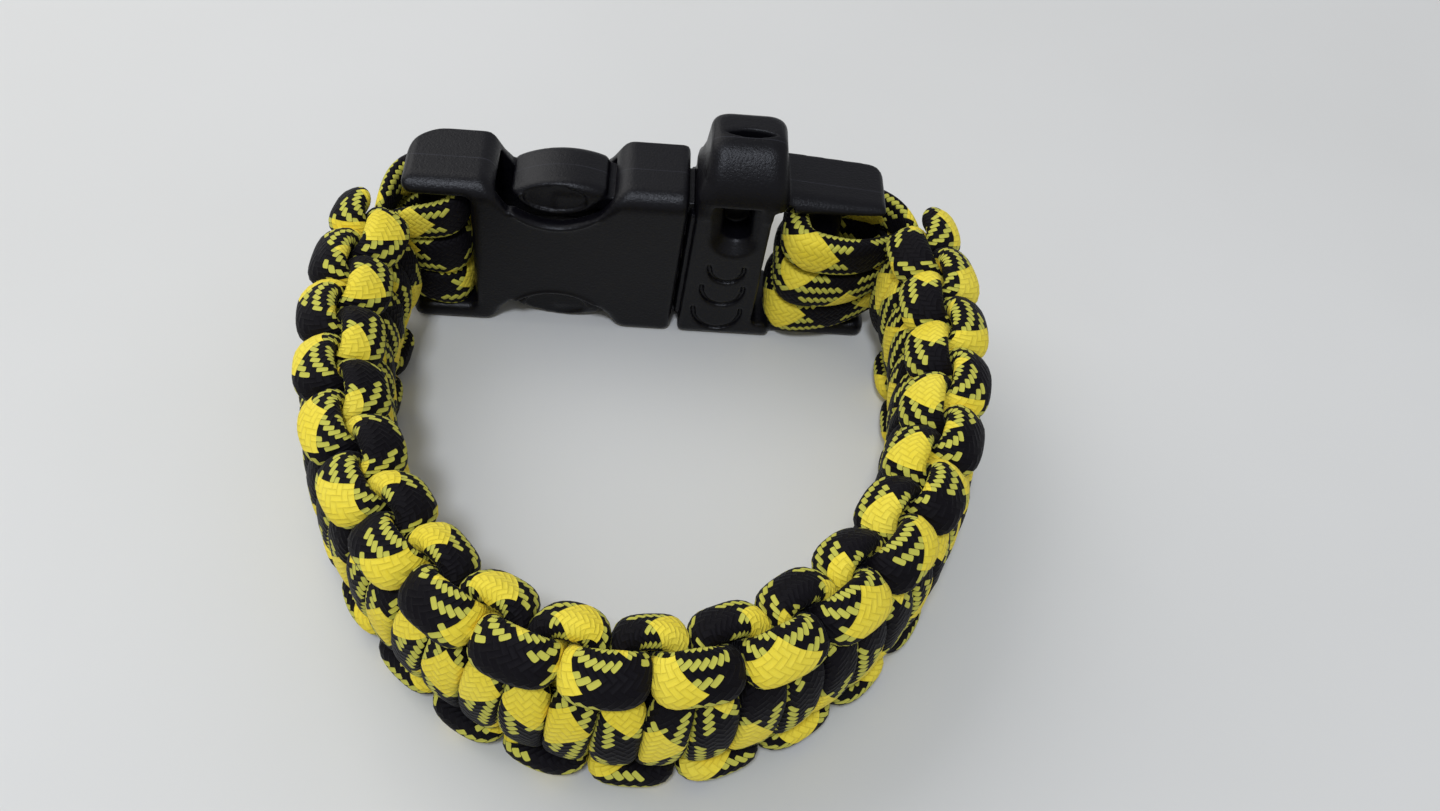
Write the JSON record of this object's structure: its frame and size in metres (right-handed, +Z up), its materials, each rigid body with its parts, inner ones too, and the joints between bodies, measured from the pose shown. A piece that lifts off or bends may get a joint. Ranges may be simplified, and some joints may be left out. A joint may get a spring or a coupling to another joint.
{
  "type": "paracord bracelet with a whistle buckle",
  "caption": "Woven cord bracelet with a fastened side-release whistle buckle, standing on its edge as an open ring.",
  "frame": {"origin": "bottom centre of the bounding box, on the surface that the bracelet's lower edge stands on", "axes": "+Z up along the wrist axis, +X along the buckle from the socket to the whistle half, +Y towards the buckle side"},
  "size_m": [0.0819, 0.0793, 0.0302],
  "materials": {
    "buckle_plastic": "satin moulded black",
    "whistle_plastic": "satin moulded black",
    "core_cord": "braided nylon, yellow and black",
    "knot_cord": "braided nylon, yellow and black"
  },
  "bodies": {
    "root": {"buckle_socket": "buckle_plastic", "buckle_plug": "whistle_plastic", "core_cord": "core_cord", "front_knot_cord": "knot_cord", "back_knot_cord": "knot_cord"}
  },
  "joints": []
}
